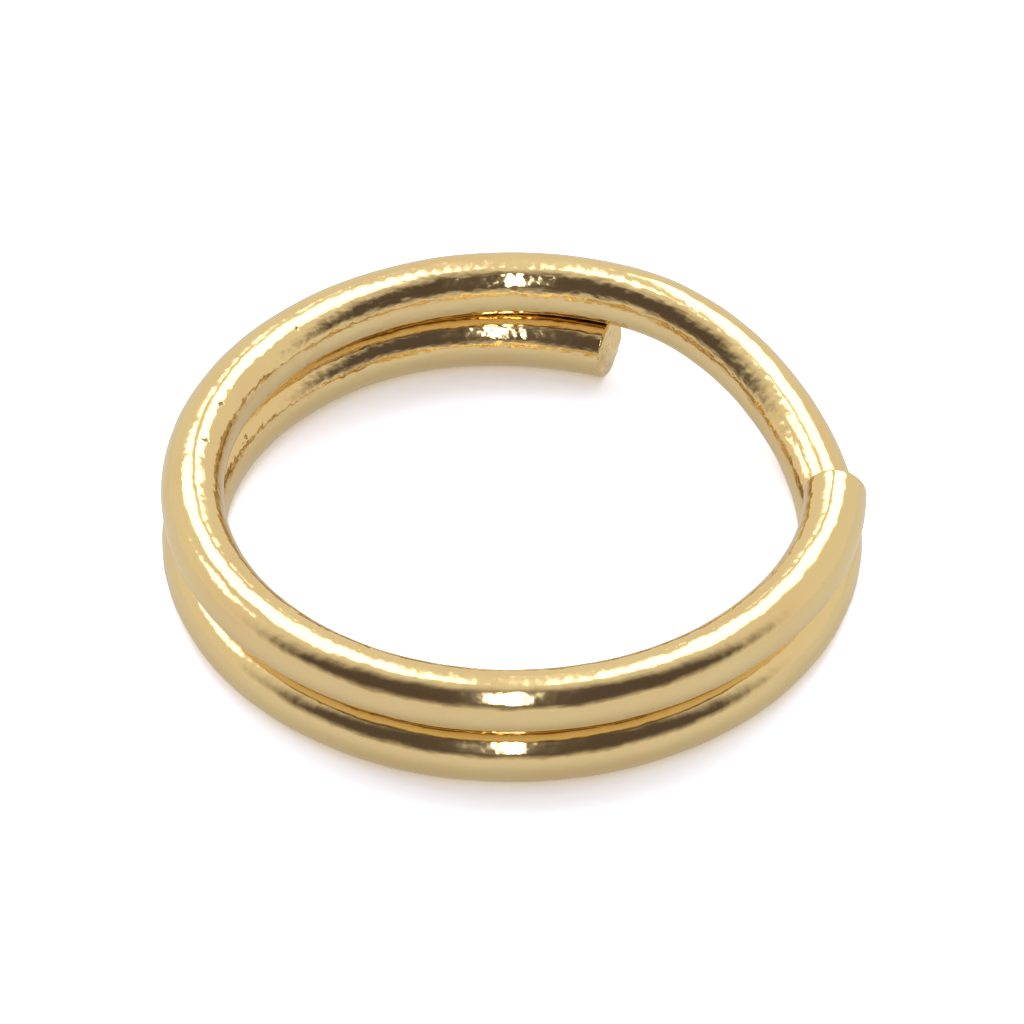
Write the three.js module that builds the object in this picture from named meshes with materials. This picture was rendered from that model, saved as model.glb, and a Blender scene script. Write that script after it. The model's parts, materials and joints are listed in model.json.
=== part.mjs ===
// A small split key ring: one round brass wire, gold plated, wound into two turns
// that lie on each other, with a climbing crossover between the two cut ends.
//
// Millimetres, +Z up. The ring lies flat: its lower turn rests on z = 0, the ring's
// axis is the Z axis, and the middle of the crossover is on the -X side. The wire
// climbs as it runs counter-clockwise seen from above, like a right-handed screw.
//
// Places along the wire are given in degrees of turn from the middle of the
// crossover: positive on the upper turn, negative on the lower turn.
//
// The real ring is a single springy wire. Here it is laid out as the crossover and a
// row of short stretches on each turn, so that either end can be sprung open.

import * as THREE from 'three';

// Driving dimensions.
const OUTER_DIAMETER = 10;
const WIRE_DIAMETER = 0.9;
const TURN_CLEARANCE = 0.02;    // air between the upper turn and the lower turn
const CROSSOVER_AZIMUTH = 180;  // where the middle of the crossover lies
const END_GAP = 72;             // between the two cut ends, where only the crossover runs
const CLIMB = 68;               // the part of that gap over which the wire climbs
const CROSSOVER_SPAN = 88;      // the crossover with a short level stretch at each end
const STRETCHES_PER_TURN = 10;
const STRETCH_GAP = 0.01;       // air between one stretch and the next

// How finely the wire is faceted.
const WIRE_SIDES = 16;
const STEP_ANGLE = 4;

// Sizes that follow from the driving dimensions.
const WIRE_RADIUS = WIRE_DIAMETER / 2;
const RING_RADIUS = OUTER_DIAMETER / 2 - WIRE_RADIUS;
const TURN_PITCH = WIRE_DIAMETER + TURN_CLEARANCE;
const LOWER_HEIGHT = WIRE_RADIUS;
const UPPER_HEIGHT = LOWER_HEIGHT + TURN_PITCH;
const END_ANGLE = 360 - END_GAP / 2;
const STRETCH_ANGLE = (END_ANGLE - CROSSOVER_SPAN / 2) / STRETCHES_PER_TURN;
const GAP_ANGLE = THREE.MathUtils.radToDeg(STRETCH_GAP / RING_RADIUS);

// Places on the wire's centre line between two angles. The height at an angle
// comes from a function, because the turns are level and the crossover climbs.
class WirePath extends THREE.Curve {
  constructor(startAngle, endAngle, heightAt) {
    super();
    this.startAngle = startAngle;
    this.endAngle = endAngle;
    this.heightAt = heightAt;
  }

  getPoint(share, target = new THREE.Vector3()) {
    const angle = THREE.MathUtils.lerp(this.startAngle, this.endAngle, share);
    const turn = THREE.MathUtils.degToRad(angle);
    return target.set(
      RING_RADIUS * Math.cos(turn),
      RING_RADIUS * Math.sin(turn),
      this.heightAt(angle),
    );
  }

  // Upright frames keep the section's flats on the top, bottom, inside and outside
  // of the wire all the way round.
  computeFrenetFrames(steps) {
    const frames = { tangents: [], normals: [], binormals: [] };
    for (let step = 0; step <= steps; step += 1) {
      const place = this.getPointAt(step / steps);
      const tangent = this.getTangentAt(step / steps);
      const outward = new THREE.Vector3(place.x, place.y, 0).normalize();
      frames.tangents.push(tangent);
      frames.normals.push(outward);
      frames.binormals.push(new THREE.Vector3().crossVectors(tangent, outward));
    }
    return frames;
  }
}

// The round wire's section as a polygon around it, with a flat on each of four sides.
function wireSection() {
  const cornerRadius = WIRE_RADIUS / Math.cos(Math.PI / WIRE_SIDES);
  const corners = [];
  for (let side = 0; side < WIRE_SIDES; side += 1) {
    const turn = (2 * Math.PI * (side + 0.5)) / WIRE_SIDES;
    corners.push(new THREE.Vector2(
      cornerRadius * Math.cos(turn),
      cornerRadius * Math.sin(turn),
    ));
  }
  return new THREE.Shape(corners);
}

function wireGeometry(startAngle, endAngle, heightAt) {
  return new THREE.ExtrudeGeometry(wireSection(), {
    steps: Math.ceil((endAngle - startAngle) / STEP_ANGLE),
    extrudePath: new WirePath(startAngle, endAngle, heightAt),
  });
}

function goldPlate() {
  return new THREE.MeshStandardMaterial({
    color: 0xe2c27a,
    roughness: 0.12,
    metalness: 1,
  });
}

function wirePiece(name, geometry) {
  const piece = new THREE.Mesh(geometry, goldPlate());
  piece.name = name;
  return piece;
}

// The single wire between the two cut ends, climbing from the lower turn's level to
// the upper turn's level in an S.
function makeCrossover() {
  const halfSpan = CROSSOVER_SPAN / 2;
  const heightAt = (angle) => LOWER_HEIGHT
    + TURN_PITCH * THREE.MathUtils.smoothstep(angle, -CLIMB / 2, CLIMB / 2);
  const crossover = wirePiece(
    'crossover',
    wireGeometry(-halfSpan, halfSpan, heightAt),
  );
  crossover.rotation.z = THREE.MathUtils.degToRad(CROSSOVER_AZIMUTH);
  return crossover;
}

// One level turn of stretches, numbered from the crossover to the cut end. Direction
// is 1 on the upper turn, which runs counter-clockwise from the crossover, and -1 on
// the lower turn.
function makeTurn(level, height, direction) {
  const turn = new THREE.Group();
  turn.position.z = height;
  const halfLength = (STRETCH_ANGLE - GAP_ANGLE) / 2;
  for (let number = 1; number <= STRETCHES_PER_TURN; number += 1) {
    const isEnd = number === STRETCHES_PER_TURN;
    const stretch = wirePiece(
      isEnd ? `${level}_end` : `${level}_turn_${number}`,
      wireGeometry(-halfLength, halfLength, () => 0),
    );
    const middle = CROSSOVER_SPAN / 2 + (number - 0.5) * STRETCH_ANGLE + GAP_ANGLE / 2;
    stretch.rotation.z = THREE.MathUtils.degToRad(CROSSOVER_AZIMUTH + direction * middle);
    turn.add(stretch);
  }
  return turn;
}

const keyRing = new THREE.Group();
keyRing.name = 'split_key_ring';
keyRing.add(makeCrossover());
keyRing.add(makeTurn('upper', UPPER_HEIGHT, 1));
keyRing.add(makeTurn('lower', LOWER_HEIGHT, -1));

export default keyRing;
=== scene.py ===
"""A small split key ring of gold-plated brass wire, lying flat on a white table.

The ring is one round wire: a lower turn, a climbing crossover and an upper turn, with a
sheared end on each turn. Lengths are in metres. Places along the wire are given in
degrees of turn from the middle of the crossover: positive on the upper turn, negative
on the lower turn. The wire is made as one run of cross-sections and then cut into
pieces halfway between the CAD joints, so that each joint lies in the middle of a piece.
"""

import json
import math

import bpy
import numpy as np
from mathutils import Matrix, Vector, noise


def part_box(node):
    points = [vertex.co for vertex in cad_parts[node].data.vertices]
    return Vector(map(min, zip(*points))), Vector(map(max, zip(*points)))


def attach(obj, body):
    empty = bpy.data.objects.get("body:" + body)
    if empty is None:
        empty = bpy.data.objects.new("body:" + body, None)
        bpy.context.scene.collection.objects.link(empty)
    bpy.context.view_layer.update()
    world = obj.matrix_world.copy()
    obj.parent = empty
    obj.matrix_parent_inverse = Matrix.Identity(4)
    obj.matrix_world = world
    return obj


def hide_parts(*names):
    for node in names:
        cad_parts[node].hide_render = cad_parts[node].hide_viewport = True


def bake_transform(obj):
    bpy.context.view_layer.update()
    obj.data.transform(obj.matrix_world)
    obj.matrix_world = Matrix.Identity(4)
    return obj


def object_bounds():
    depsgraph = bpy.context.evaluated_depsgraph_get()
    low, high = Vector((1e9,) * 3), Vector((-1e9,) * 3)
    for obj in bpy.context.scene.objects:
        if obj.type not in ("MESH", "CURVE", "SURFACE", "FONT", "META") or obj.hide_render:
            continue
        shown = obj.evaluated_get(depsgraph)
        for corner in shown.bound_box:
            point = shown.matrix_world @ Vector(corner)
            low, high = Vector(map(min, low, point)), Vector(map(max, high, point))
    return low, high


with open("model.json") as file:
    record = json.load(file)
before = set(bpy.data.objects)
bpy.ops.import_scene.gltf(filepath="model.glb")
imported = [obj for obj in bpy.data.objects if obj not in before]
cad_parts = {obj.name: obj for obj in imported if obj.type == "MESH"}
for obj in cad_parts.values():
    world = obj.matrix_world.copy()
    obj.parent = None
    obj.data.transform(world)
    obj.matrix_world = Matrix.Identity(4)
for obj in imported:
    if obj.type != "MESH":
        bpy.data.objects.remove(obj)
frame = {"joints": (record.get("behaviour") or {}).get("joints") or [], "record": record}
cad_low, cad_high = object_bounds()

MM = 0.001

# ---------------------------------------------------------------- sizes from the frame

lower_end_low, lower_end_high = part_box("lower_end")
upper_end_low, upper_end_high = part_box("upper_end")

WIRE_RADIUS = (lower_end_high.z - lower_end_low.z) / 2
RING_RADIUS = (cad_high.x - cad_low.x) / 2 - WIRE_RADIUS
LOWER_HEIGHT = (lower_end_high.z + lower_end_low.z) / 2
UPPER_HEIGHT = (upper_end_high.z + upper_end_low.z) / 2
MIDDLE_HEIGHT = (LOWER_HEIGHT + UPPER_HEIGHT) / 2
CROSSOVER_AZIMUTH = 180.0
CLIMB = 68.0                # degrees of turn over which the crossover climbs, as in the CAD part

# ---------------------------------------------------------------- the wire's own sizes

PLATING = 0.009 * MM        # takes up most of the air that the CAD part leaves between its turns
PLATED_RADIUS = WIRE_RADIUS + PLATING
UPPER_FLARE = 0.05 * MM     # how far the upper cut end stands out from the circle
LOWER_FLARE = -0.14 * MM    # the lower cut end stands in from it
FLARE_TURN = 50.0           # degrees of turn over which they do
STEP = 0.6                  # degrees of turn between cross-sections
TANGENT_STEP = 0.05         # degrees of turn to either side, from which the wire's direction is taken
AROUND = 72                 # points round a cross-section

WAVE_DEPTH = 0.010 * MM
WAVE_LENGTH = 1.7 * MM
DIMPLE_DEPTH = 0.012 * MM
DIMPLE_LENGTH = 0.5 * MM
DIMPLE_SHIFT = Vector((7.3, 1.9, 4.1))  # keeps the dimples from following the waves

# ---------------------------------------------------------------- the cut ends' sizes

RIM_ROUND = 0.07 * MM       # radius of the rounded edge round a cut end
RIM_RINGS = 7
FACE_RINGS = 14
SMALLEST_RING = 0.012 * MM

LOWER_CUT = {
    "slant": 0.035 * MM,
    "lip": 0.02 * MM,
    "crease": 0.025 * MM,
    "crumple": 0.04 * MM,
    "seed": 3.7,
}
UPPER_CUT = {
    "slant": -0.03 * MM,
    "lip": 0.035 * MM,
    "crease": 0.05 * MM,
    "crumple": 0.065 * MM,
    "seed": 11.2,
}

# Places and widths on a cut face are in wire radii from its middle.
LIP_HEIGHT = -0.35          # where the lip crosses the face
LIP_LEAN = 0.2              # how much it rises towards the outside
LIP_WIDTH = 0.16
CREASE_RADIUS = 0.68
CREASE_WIDTH = 0.09
CREASE_SIDE = (0.15, 0.6)   # how far inward the crease begins, and where it has its whole depth
TORN_ABOVE = (-0.45, -0.15)
TORN_WITHIN = (0.95, 0.7)
SHEARED_CRUMPLE = 0.3       # how crumpled the sheared part is against the torn part
COARSE_CRUMPLE = 3.1        # lumps for each wire radius
FINE_CRUMPLE = 8.5
FINE_SHARE = 0.3

# ---------------------------------------------------------------- the camera's sizes

CAMERA_AZIMUTH = 145.0
CAMERA_ELEVATION = 41.0
CAMERA_DISTANCE = 35 * RING_RADIUS
CLIP_RANGE = 10
FRAME_WIDTH = 14.6 * MM     # what the picture takes in at the ring's middle
SENSOR_WIDTH = 36.0


# ---------------------------------------------------------------- the wire's shape

def smooth_step(x, low, high):
    """A soft step from 0 at low to 1 at high, whichever of them is larger."""
    share = min(max((x - low) / (high - low), 0.0), 1.0)
    return share * share * (3 - 2 * share)


def wire_angle(place):
    """The place's angle along the wire, from the crossover's middle."""
    azimuth = math.degrees(math.atan2(place[1], place[0]))
    if place[2] > MIDDLE_HEIGHT:
        return (azimuth - CROSSOVER_AZIMUTH) % 360
    return -((CROSSOVER_AZIMUTH - azimuth) % 360)


def chain(level):
    """The hinges of one turn, from the crossover to the cut end, with their angles."""
    hinges = [(wire_angle(j["pos_m"]), j) for j in frame["joints"] if j["name"].startswith(level)]
    return sorted(hinges, key=lambda hinge: abs(hinge[0]))


UPPER_CHAIN = chain("upper")
LOWER_CHAIN = chain("lower")
HINGE_SPACING = UPPER_CHAIN[1][0] - UPPER_CHAIN[0][0]
END_ANGLE = UPPER_CHAIN[-1][0] + HINGE_SPACING


def centre_line(angle):
    """The middle of the wire at an angle."""
    turn = math.radians(CROSSOVER_AZIMUTH + angle)
    flare = UPPER_FLARE if angle > 0 else LOWER_FLARE
    radius = RING_RADIUS + flare * smooth_step(abs(angle), END_ANGLE - FLARE_TURN, END_ANGLE)
    height = LOWER_HEIGHT + (UPPER_HEIGHT - LOWER_HEIGHT) * smooth_step(angle, -CLIMB / 2, CLIMB / 2)
    return Vector((radius * math.cos(turn), radius * math.sin(turn), height))


def section_frame(angle):
    """The wire's middle with its outward, upward and forward directions."""
    middle = centre_line(angle)
    forward = (centre_line(angle + TANGENT_STEP) - centre_line(angle - TANGENT_STEP)).normalized()
    outward = Vector((middle.x, middle.y, 0)).normalized()
    outward = (outward - outward.dot(forward) * forward).normalized()
    return middle, outward, outward.cross(forward), forward


def relief(place):
    """The tumbled and plated surface against a true round: never outside it, so the turns stay clear."""
    wave = noise.noise(place / WAVE_LENGTH)
    dimple = noise.noise(place / DIMPLE_LENGTH + DIMPLE_SHIFT)
    return -(WAVE_DEPTH * (1 + wave) + DIMPLE_DEPTH * (1 + dimple)) / 2


class Wire:
    """Rings of points along the whole wire, with a straightened copy of each point's place."""

    def __init__(self):
        self.points = []
        self.straight = []
        self.angles = []
        self.cut = []

    def add_ring(self, angle, radius, push=None):
        """A ring round the wire, or one of a cut end, where push moves a point along the wire."""
        middle, outward, upward, forward = section_frame(angle)
        along = RING_RADIUS * math.radians(angle)
        ring, straight = [], []
        for corner in range(AROUND):
            turn = 2 * math.pi * corner / AROUND
            direction = math.cos(turn) * outward + math.sin(turn) * upward
            dent = relief(middle + PLATED_RADIUS * direction)
            across, up = radius * math.cos(turn), radius * math.sin(turn)
            shift = push(across, up) if push else 0.0
            ring.append(middle + radius * (1 + dent / PLATED_RADIUS) * direction + shift * forward)
            straight.append((across, up, along + shift))
        self.points.append(ring)
        self.straight.append(straight)
        self.angles.append(angle)
        self.cut.append(push is not None)


def cut_face(across, up, slant, lip, crease, crumple, seed):
    """The height of a sheared face over its flat.

    It has a slant, a lip where the cutters met, a crease beside the burr on the ring's
    inner side, and torn metal above the lip.
    """
    place = Vector((across, up, 0)) / WIRE_RADIUS
    ridge = math.exp(-((place.y - LIP_HEIGHT - LIP_LEAN * place.x) / LIP_WIDTH) ** 2)
    fold = math.exp(-((place.length - CREASE_RADIUS) / CREASE_WIDTH) ** 2)
    fold *= smooth_step(-place.x, *CREASE_SIDE)
    torn = smooth_step(place.y, *TORN_ABOVE) * smooth_step(place.length, *TORN_WITHIN)
    coarse = noise.noise(place * COARSE_CRUMPLE + Vector((seed, 0, 0)))
    fine = noise.noise(place * FINE_CRUMPLE + Vector((0, seed, 0)))
    crumpled = crumple * (SHEARED_CRUMPLE + (1 - SHEARED_CRUMPLE) * torn) * (coarse + FINE_SHARE * fine)
    return slant * place.x + lip * ridge - crease * fold + crumpled


def end_rings(end_angle, cut):
    """The angle where a cut end begins, and the (radius, push) of its rings from the side to the middle."""
    side = 1 if end_angle > 0 else -1
    start_angle = end_angle - side * math.degrees(RIM_ROUND / RING_RADIUS)
    rings = []
    for number in range(1, RIM_RINGS + FACE_RINGS + 1):
        turn = math.pi / 2 * min(number / RIM_RINGS, 1)
        share = max(number - RIM_RINGS, 0) / FACE_RINGS
        rim_radius = PLATED_RADIUS - RIM_ROUND * (1 - math.cos(turn))
        radius = rim_radius * (1 - share) + SMALLEST_RING * share

        def push(across, up, rise=math.sin(turn)):
            return side * rise * (RIM_ROUND + cut_face(across, up, **cut))

        rings.append((radius, push))
    return start_angle, rings


def cut_places():
    """The angles where the wire is cut into pieces: halfway between hinges."""
    upper = [angle - HINGE_SPACING / 2 for angle, _ in UPPER_CHAIN] + [END_ANGLE - HINGE_SPACING / 2]
    lower = [angle + HINGE_SPACING / 2 for angle, _ in LOWER_CHAIN] + [-END_ANGLE + HINGE_SPACING / 2]
    return sorted(lower + upper)


def make_wire():
    """The whole wire from the middle of the lower cut face to the middle of the upper one."""
    wire = Wire()
    lower_start, lower_rings = end_rings(-END_ANGLE, LOWER_CUT)
    upper_start, upper_rings = end_rings(END_ANGLE, UPPER_CUT)
    for radius, push in reversed(lower_rings):
        wire.add_ring(lower_start, radius, push)
    marks = [lower_start, *cut_places(), upper_start]
    for first, last in zip(marks, marks[1:]):
        steps = math.ceil((last - first) / STEP)
        for step in range(steps):
            wire.add_ring(first + (last - first) * step / steps, PLATED_RADIUS)
    wire.add_ring(upper_start, PLATED_RADIUS)
    for radius, push in upper_rings:
        wire.add_ring(upper_start, radius, push)
    return wire


def ring_normals(points):
    """A smooth normal for every point of the closed wire, from the faces round it."""
    across = np.roll(points, -1, axis=1)
    diagonal_a = across[1:] - points[:-1]
    diagonal_b = points[1:] - across[:-1]
    faces = np.cross(diagonal_b, diagonal_a)
    normals = np.zeros_like(points)
    for rows in (slice(None, -1), slice(1, None)):
        normals[rows] += faces
        normals[rows] += np.roll(faces, 1, axis=1)
    return normals / np.linalg.norm(normals, axis=2, keepdims=True)


def wire_piece(name, wire, points, normals, first, last, materials):
    """A closed piece of the wire between two of its rings, shaded as if it were never cut."""
    count = last - first + 1
    faces, face_normals, slots = [], [], []
    for ring in range(count - 1):
        for corner in range(AROUND):
            beside = (corner + 1) % AROUND
            quad = [(ring, corner), (ring + 1, corner), (ring + 1, beside), (ring, beside)]
            faces.append([r * AROUND + c for r, c in quad])
            face_normals += [normals[first + r, c] for r, c in quad]
            slots.append(int(wire.cut[first + ring] or wire.cut[first + ring + 1]))
    for ring, order in ((0, 1), (count - 1, -1)):
        corners = list(range(AROUND))[::order]
        faces.append([ring * AROUND + corner for corner in corners])
        loop = points[first + ring][corners]
        spokes = loop - loop[0]
        flat = np.cross(spokes, np.roll(spokes, -1, axis=0)).sum(axis=0)
        face_normals += [flat / np.linalg.norm(flat)] * AROUND
        slots.append(int(wire.cut[first + ring]))
    mesh = bpy.data.meshes.new(name)
    mesh.from_pydata([tuple(v) for v in points[first : last + 1].reshape(-1, 3)], [], faces)
    for material in materials:
        mesh.materials.append(material)
    mesh.polygons.foreach_set("material_index", slots)
    mesh.polygons.foreach_set("use_smooth", [True] * len(faces))
    straight = mesh.attributes.new("straight_place", "FLOAT_VECTOR", "POINT")
    straight.data.foreach_set("vector", np.array(wire.straight[first : last + 1], np.float32).ravel())
    mesh.update()
    mesh.normals_split_custom_set([tuple(n) for n in face_normals])
    piece = bpy.data.objects.new(name, mesh)
    bpy.context.scene.collection.objects.link(piece)
    return piece


def bend_piece(piece):
    """Bakes the piece's transform into its mesh. The piece is not bent across its hinge and follows no
    body.
    """
    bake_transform(piece)


def make_ring(materials):
    """The whole ring: the crossover's piece, one piece for each hinge, and the two cut ends."""
    wire = make_wire()
    points = np.array([[tuple(p) for p in ring] for ring in wire.points])
    normals = ring_normals(points)
    sides = [i for i, cut in enumerate(wire.cut) if not cut]

    def ring_at(angle):
        return min(sides, key=lambda i: abs(wire.angles[i] - angle))

    def piece_between(name, low, high):
        first = 0 if low is None else ring_at(low)
        last = len(wire.angles) - 1 if high is None else ring_at(high)
        return wire_piece(name, wire, points, normals, first, last, materials)

    half = HINGE_SPACING / 2
    first_hinge = UPPER_CHAIN[0][0]
    crossover = piece_between("crossover_wire", -first_hinge + half, first_hinge - half)
    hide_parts("crossover")
    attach(crossover, "crossover")
    for level, hinges in (("upper", UPPER_CHAIN), ("lower", LOWER_CHAIN)):
        for number, (angle, joint) in enumerate(hinges, start=1):
            piece = piece_between(f"{level}_wire_{number}", angle - half, angle + half)
            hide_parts(*frame["record"]["behaviour"]["bodies"][joint["child"]])
            bend_piece(piece)
        end_start = END_ANGLE - half
        limits = (end_start, None) if level == "upper" else (None, -end_start)
        tip = piece_between(f"{level}_cut_end", *limits)
        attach(tip, f"{level}_end")


# ---------------------------------------------------------------- materials

GOLD = (0.89, 0.70, 0.36, 1)
GOLD_ROSY = (0.88, 0.665, 0.34, 1)
GOLD_STAIN = (0.16, 0.095, 0.035, 1)

# The plating's textures work in millimetres of straightened wire: outward, upward and along.
# A pair is where a soft step in a texture or a place begins and ends.
INNER_SIDE = (0.05, -0.3)
DIMPLE_BUMP = 0.009 * MM
LINE_STRETCH = (1, 1, 0.05)        # drawing lines run along the wire
LINE_TOPS = (0.3, 0.8)
GRAIN_STRETCH = (1, 1, 0.55)
PATCH_EDGE = (0.42, 0.66)
INNER_GRAIN = 0.85
PATCH_GRAIN = 0.15
TONE_EDGE = (0.35, 0.7)
PIT_PULL = (0.14, 0.14, 0.3)       # how far noise pulls a pit out of round
PIT_LUCK = (0.55, 0.57)            # only texture cells above this have a pit
PIT_EDGE = (0.1, 0.04)
PIT_SIDE = (0.1, 0.0)              # pits lie on the ring's inner side
PIT_DEPTH = 0.012 * MM
PIT_STAIN = 0.8
LINE_ROUGHNESS = 0.04
PATCH_ROUGHNESS = 0.03
PIT_ROUGHNESS = 0.3


class Nodes:
    """A short way to build a node tree."""

    def __init__(self, tree):
        self.tree = tree
        tree.nodes.clear()

    def add(self, kind, inputs=None, **settings):
        """A new node. Inputs are values, or sockets to link from."""
        node = self.tree.nodes.new(kind)
        for name, value in settings.items():
            setattr(node, name, value)
        for name, value in (inputs or {}).items():
            if isinstance(value, bpy.types.NodeSocket):
                self.tree.links.new(value, node.inputs[name])
            else:
                node.inputs[name].default_value = value
        return node

    def math(self, operation, *values):
        return self.add("ShaderNodeMath", dict(enumerate(values)), operation=operation).outputs[0]

    def vector(self, operation, *values):
        return self.add("ShaderNodeVectorMath", dict(enumerate(values)), operation=operation).outputs[0]

    def noise(self, place, scale, detail):
        inputs = {"Vector": place, "Scale": scale, "Detail": detail}
        return self.add("ShaderNodeTexNoise", inputs).outputs["Fac"]

    def ramp(self, value, low, high, out_low=0.0, out_high=1.0):
        inputs = {"Value": value, "From Min": low, "From Max": high, "To Min": out_low, "To Max": out_high}
        return self.add("ShaderNodeMapRange", inputs, interpolation_type="SMOOTHSTEP").outputs["Result"]

    def mix(self, share, first, second):
        """A colour between two. A mix node has its colours at inputs 6 and 7, and their mix at output 2."""
        inputs = {0: share, 6: first, 7: second}
        return self.add("ShaderNodeMix", inputs, data_type="RGBA").outputs[2]

    def bump(self, height, distance, normal=None):
        inputs = {"Height": height, "Distance": distance, "Strength": 1.0}
        if normal is not None:
            inputs["Normal"] = normal
        return self.add("ShaderNodeBump", inputs).outputs["Normal"]


def pit_mask(n, place, across):
    """A few ragged pits on the ring's inner side: 1 in a pit and 0 elsewhere."""
    pull = n.add("ShaderNodeTexNoise", {"Vector": place, "Scale": 7.0}).outputs["Color"]
    ragged = n.vector("ADD", place, n.vector("MULTIPLY", pull, PIT_PULL))
    cells = n.add("ShaderNodeTexVoronoi", {"Vector": ragged, "Scale": 1.9, "Randomness": 1.0})
    luck = n.add("ShaderNodeSeparateColor", {"Color": cells.outputs["Color"]}).outputs[0]
    lucky = n.math("MULTIPLY", n.ramp(luck, *PIT_LUCK), n.ramp(across, *PIT_SIDE))
    return n.math("MULTIPLY", n.ramp(cells.outputs["Distance"], *PIT_EDGE), lucky)


def gold_plate(name, line_height, grain_height, roughness):
    """Bright gold plating over drawn wire: soft dimples, fine drawing lines, grain and a few pits."""
    material = bpy.data.materials.new(name)
    material.use_nodes = True
    n = Nodes(material.node_tree)
    straight = n.add("ShaderNodeAttribute", attribute_name="straight_place").outputs["Vector"]
    place = n.vector("MULTIPLY", straight, (1 / MM, 1 / MM, 1 / MM))
    across = n.add("ShaderNodeSeparateXYZ", {0: place}).outputs["X"]
    inside = n.ramp(across, *INNER_SIDE)

    dimples = n.noise(place, scale=4.2, detail=1.5)
    lines = n.noise(n.vector("MULTIPLY", place, LINE_STRETCH), scale=13.0, detail=2.0)
    grain = n.noise(n.vector("MULTIPLY", place, GRAIN_STRETCH), scale=9.0, detail=1.5)
    patches = n.ramp(n.noise(place, scale=1.1, detail=1.0), *PATCH_EDGE)
    grained = n.math("MULTIPLY", inside, INNER_GRAIN)
    grained = n.math("ADD", grained, n.math("MULTIPLY", patches, PATCH_GRAIN))
    pit = pit_mask(n, place, across)

    normal = n.bump(dimples, DIMPLE_BUMP)
    normal = n.bump(lines, line_height, normal)
    normal = n.bump(n.math("MULTIPLY", grain, grained), grain_height, normal)
    normal = n.bump(n.math("MULTIPLY", pit, -1.0), PIT_DEPTH, normal)

    tone = n.ramp(n.noise(place, scale=0.6, detail=2.0), *TONE_EDGE)
    colour = n.mix(tone, GOLD, GOLD_ROSY)
    colour = n.mix(n.math("MULTIPLY", pit, PIT_STAIN), colour, GOLD_STAIN)
    rough = n.ramp(lines, *LINE_TOPS, roughness, roughness + LINE_ROUGHNESS)
    rough = n.math("ADD", rough, n.math("MULTIPLY", patches, PATCH_ROUGHNESS))
    rough = n.math("ADD", rough, n.math("MULTIPLY", pit, PIT_ROUGHNESS))

    shader = n.add("ShaderNodeBsdfPrincipled", {"Base Color": colour, "Roughness": rough, "Normal": normal})
    shader.inputs["Metallic"].default_value = 1.0
    n.add("ShaderNodeOutputMaterial", {"Surface": shader.outputs["BSDF"]})
    return material


# ---------------------------------------------------------------- studio

TABLE_HALF = 0.4
TABLE_SEEN = (1.84, 1.98, 2.40, 1)     # brighter than white, as on an overexposed picture
TABLE_LIT = (0.42, 0.42, 0.42, 1)
# painted light: an even glow that the table gives off to every ray but the camera's, lightening its shadows
# in the ring's reflections
TABLE_GLOW = (0.33, 0.33, 0.33, 1)
ROOM_PALE = (0.80, 0.755, 0.67, 1)
ROOM_DARK = (0.098, 0.078, 0.075, 1)
BACKDROP = (1.0, 1.0, 1.0, 1)
DARK_AHEAD = (-0.08, 0.38)             # the room turns dark towards the camera
DARK_HEIGHT = (0.0, 0.45)              # and upward from the table's level
LAMP_DISTANCE = 0.25


def make_table():
    """A plain white table top. It shows whiter to the camera than to the ring, and to the ring it also
    gives off a painted glow that lightens its shadows.

    The ring is held by its crossover, so the table goes down with the lower cut end when
    that end springs open.
    """
    mesh = bpy.data.meshes.new("table_top")
    corners = [(-1, -1), (1, -1), (1, 1), (-1, 1)]
    mesh.from_pydata([(x * TABLE_HALF, y * TABLE_HALF, 0) for x, y in corners], [], [(0, 1, 2, 3)])
    table = bpy.data.objects.new("table_top", mesh)
    foot = bpy.data.objects.new("table_height", None)
    foot.location = centre_line(-END_ANGLE)
    foot.location.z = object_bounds()[0].z
    for item in (table, foot):
        bpy.context.scene.collection.objects.link(item)
    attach(foot, "lower_end")
    follow = table.constraints.new("COPY_LOCATION")
    follow.target = foot
    follow.use_x = False
    follow.use_y = False
    material = bpy.data.materials.new("white_table")
    material.use_nodes = True
    n = Nodes(material.node_tree)
    seen = n.add("ShaderNodeBsdfDiffuse", {"Color": TABLE_SEEN})
    lit = n.add("ShaderNodeBsdfDiffuse", {"Color": TABLE_LIT})
    # painted light: an even glow, not seen by the camera, that fills the table's shadows as the ring
    # reflects them and lights the ring's underside
    painted_glow = n.add("ShaderNodeEmission", {"Color": TABLE_GLOW, "Strength": 1.0})
    reflected = n.add("ShaderNodeAddShader", {0: lit.outputs[0], 1: painted_glow.outputs[0]})
    camera_ray = n.add("ShaderNodeLightPath").outputs["Is Camera Ray"]
    mixed = n.add("ShaderNodeMixShader", {0: camera_ray, 1: reflected.outputs[0], 2: seen.outputs[0]})
    n.add("ShaderNodeOutputMaterial", {"Surface": mixed.outputs[0]})
    mesh.materials.append(material)


def towards(azimuth, elevation):
    """The direction from the ring to a place at that azimuth and elevation, in degrees."""
    a, e = math.radians(azimuth), math.radians(elevation)
    return Vector((math.sin(a) * math.cos(e), -math.cos(a) * math.cos(e), math.sin(e)))


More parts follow.
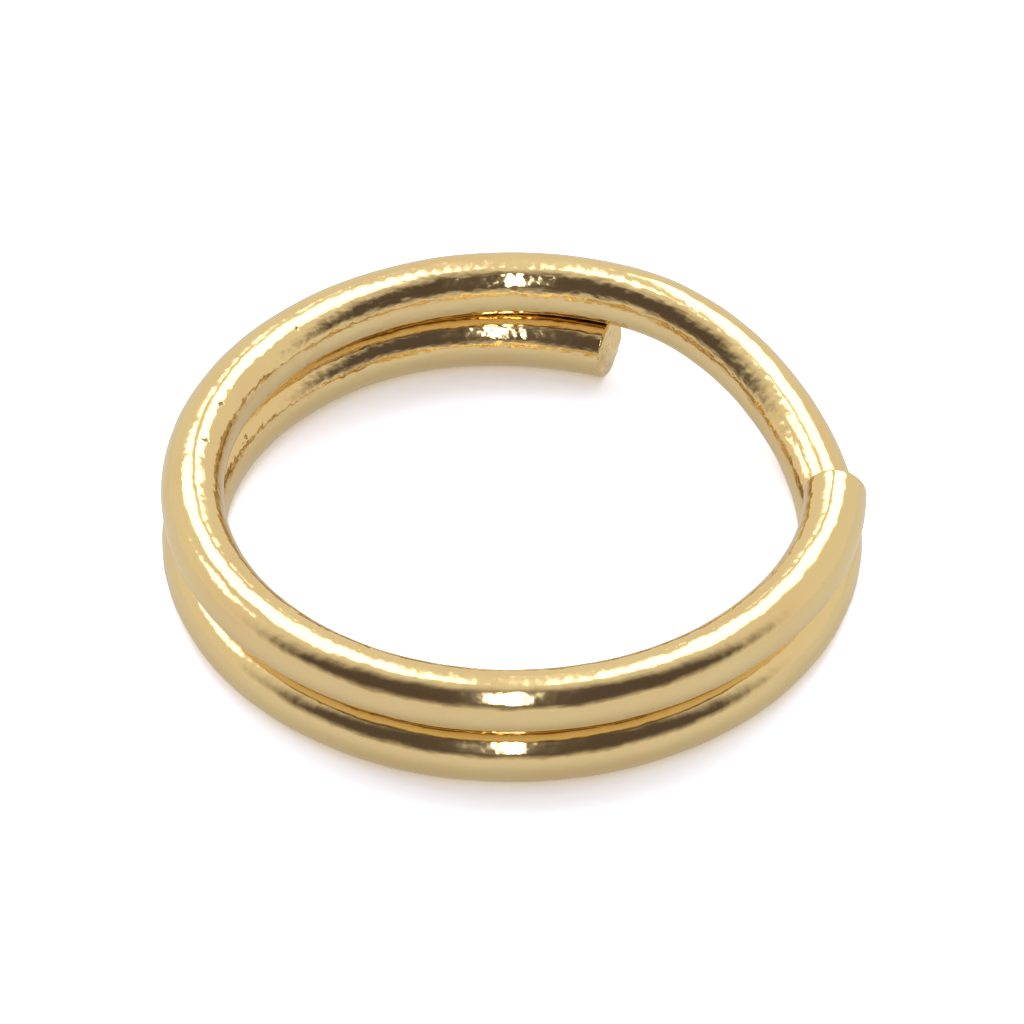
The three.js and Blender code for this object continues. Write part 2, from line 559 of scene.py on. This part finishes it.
def make_world():
    """A soft pale room that is dark behind the camera."""
    world = bpy.data.worlds.new("studio")
    bpy.context.scene.world = world
    world.use_nodes = True
    n = Nodes(world.node_tree)
    ray = n.add("ShaderNodeTexCoord").outputs["Generated"]
    ahead = n.add("ShaderNodeVectorMath", {0: ray, 1: towards(CAMERA_AZIMUTH, 0)}, operation="DOT_PRODUCT")
    height = n.add("ShaderNodeSeparateXYZ", {0: ray}).outputs["Z"]
    dark = n.math("MULTIPLY", n.ramp(ahead.outputs["Value"], *DARK_AHEAD), n.ramp(height, *DARK_HEIGHT))
    room = n.mix(dark, ROOM_PALE, ROOM_DARK)
    camera_ray = n.add("ShaderNodeLightPath").outputs["Is Camera Ray"]
    shown = n.mix(camera_ray, room, BACKDROP)
    background = n.add("ShaderNodeBackground", {"Color": shown, "Strength": 1.0})
    n.add("ShaderNodeOutputWorld", {"Surface": background.outputs[0]})


def make_lamp(name, azimuth, elevation, wide, high, radiance, aside=0.0, shape="RECTANGLE"):
    """A lamp that faces the table.

    Its azimuth counts from the camera's. Its shift aside and its sizes are shares of its distance.
    """
    data = bpy.data.lights.new(name, "AREA")
    data.shape = shape
    data.size = wide * LAMP_DISTANCE
    data.size_y = high * LAMP_DISTANCE
    area = data.size * data.size_y * (math.pi / 4 if shape == "ELLIPSE" else 1)
    data.energy = radiance * math.pi * area
    lamp = bpy.data.objects.new(name, data)
    direction = towards(CAMERA_AZIMUTH + azimuth, elevation)
    lamp.rotation_euler = direction.to_track_quat("Z", "Y").to_euler()
    sideways = lamp.rotation_euler.to_matrix() @ Vector((1, 0, 0))
    lamp.location = LAMP_DISTANCE * (direction + aside * sideways)
    lamp.visible_camera = False
    bpy.context.scene.collection.objects.link(lamp)


def make_lamps():
    """A narrow tall lamp above the camera, two wide ones at the far side and a small one at the left."""
    make_lamp("key_lamp", azimuth=-1, elevation=50, wide=0.11, high=0.85, radiance=7.0, shape="ELLIPSE")
    for name, aside in (("left_softbox", -0.3), ("right_softbox", 0.3)):
        make_lamp(name, azimuth=180, elevation=58, wide=0.46, high=0.8, radiance=2.0, aside=aside)
    make_lamp("side_softbox", azimuth=-112, elevation=36, wide=0.3, high=0.22, radiance=1.8)


def make_camera():
    """The camera at the photo's viewing angle."""
    data = bpy.data.cameras.new("camera")
    data.sensor_width = SENSOR_WIDTH
    data.lens = SENSOR_WIDTH * CAMERA_DISTANCE / FRAME_WIDTH
    data.clip_start = CAMERA_DISTANCE / CLIP_RANGE
    data.clip_end = CAMERA_DISTANCE * CLIP_RANGE
    camera = bpy.data.objects.new("camera", data)
    direction = towards(CAMERA_AZIMUTH, CAMERA_ELEVATION)
    camera.location = direction * CAMERA_DISTANCE + Vector((0, 0, MIDDLE_HEIGHT))
    camera.rotation_euler = direction.to_track_quat("Z", "Y").to_euler()
    bpy.context.scene.collection.objects.link(camera)
    bpy.context.scene.camera = camera


make_ring([
    gold_plate("gold_plate", line_height=0.0012 * MM, grain_height=0.010 * MM, roughness=0.095),
    gold_plate("gold_plate_cut_end", line_height=0.0009 * MM, grain_height=0.035 * MM, roughness=0.15),
])
make_table()
make_world()
make_lamps()
make_camera()
bpy.context.scene.view_settings.view_transform = "Standard"
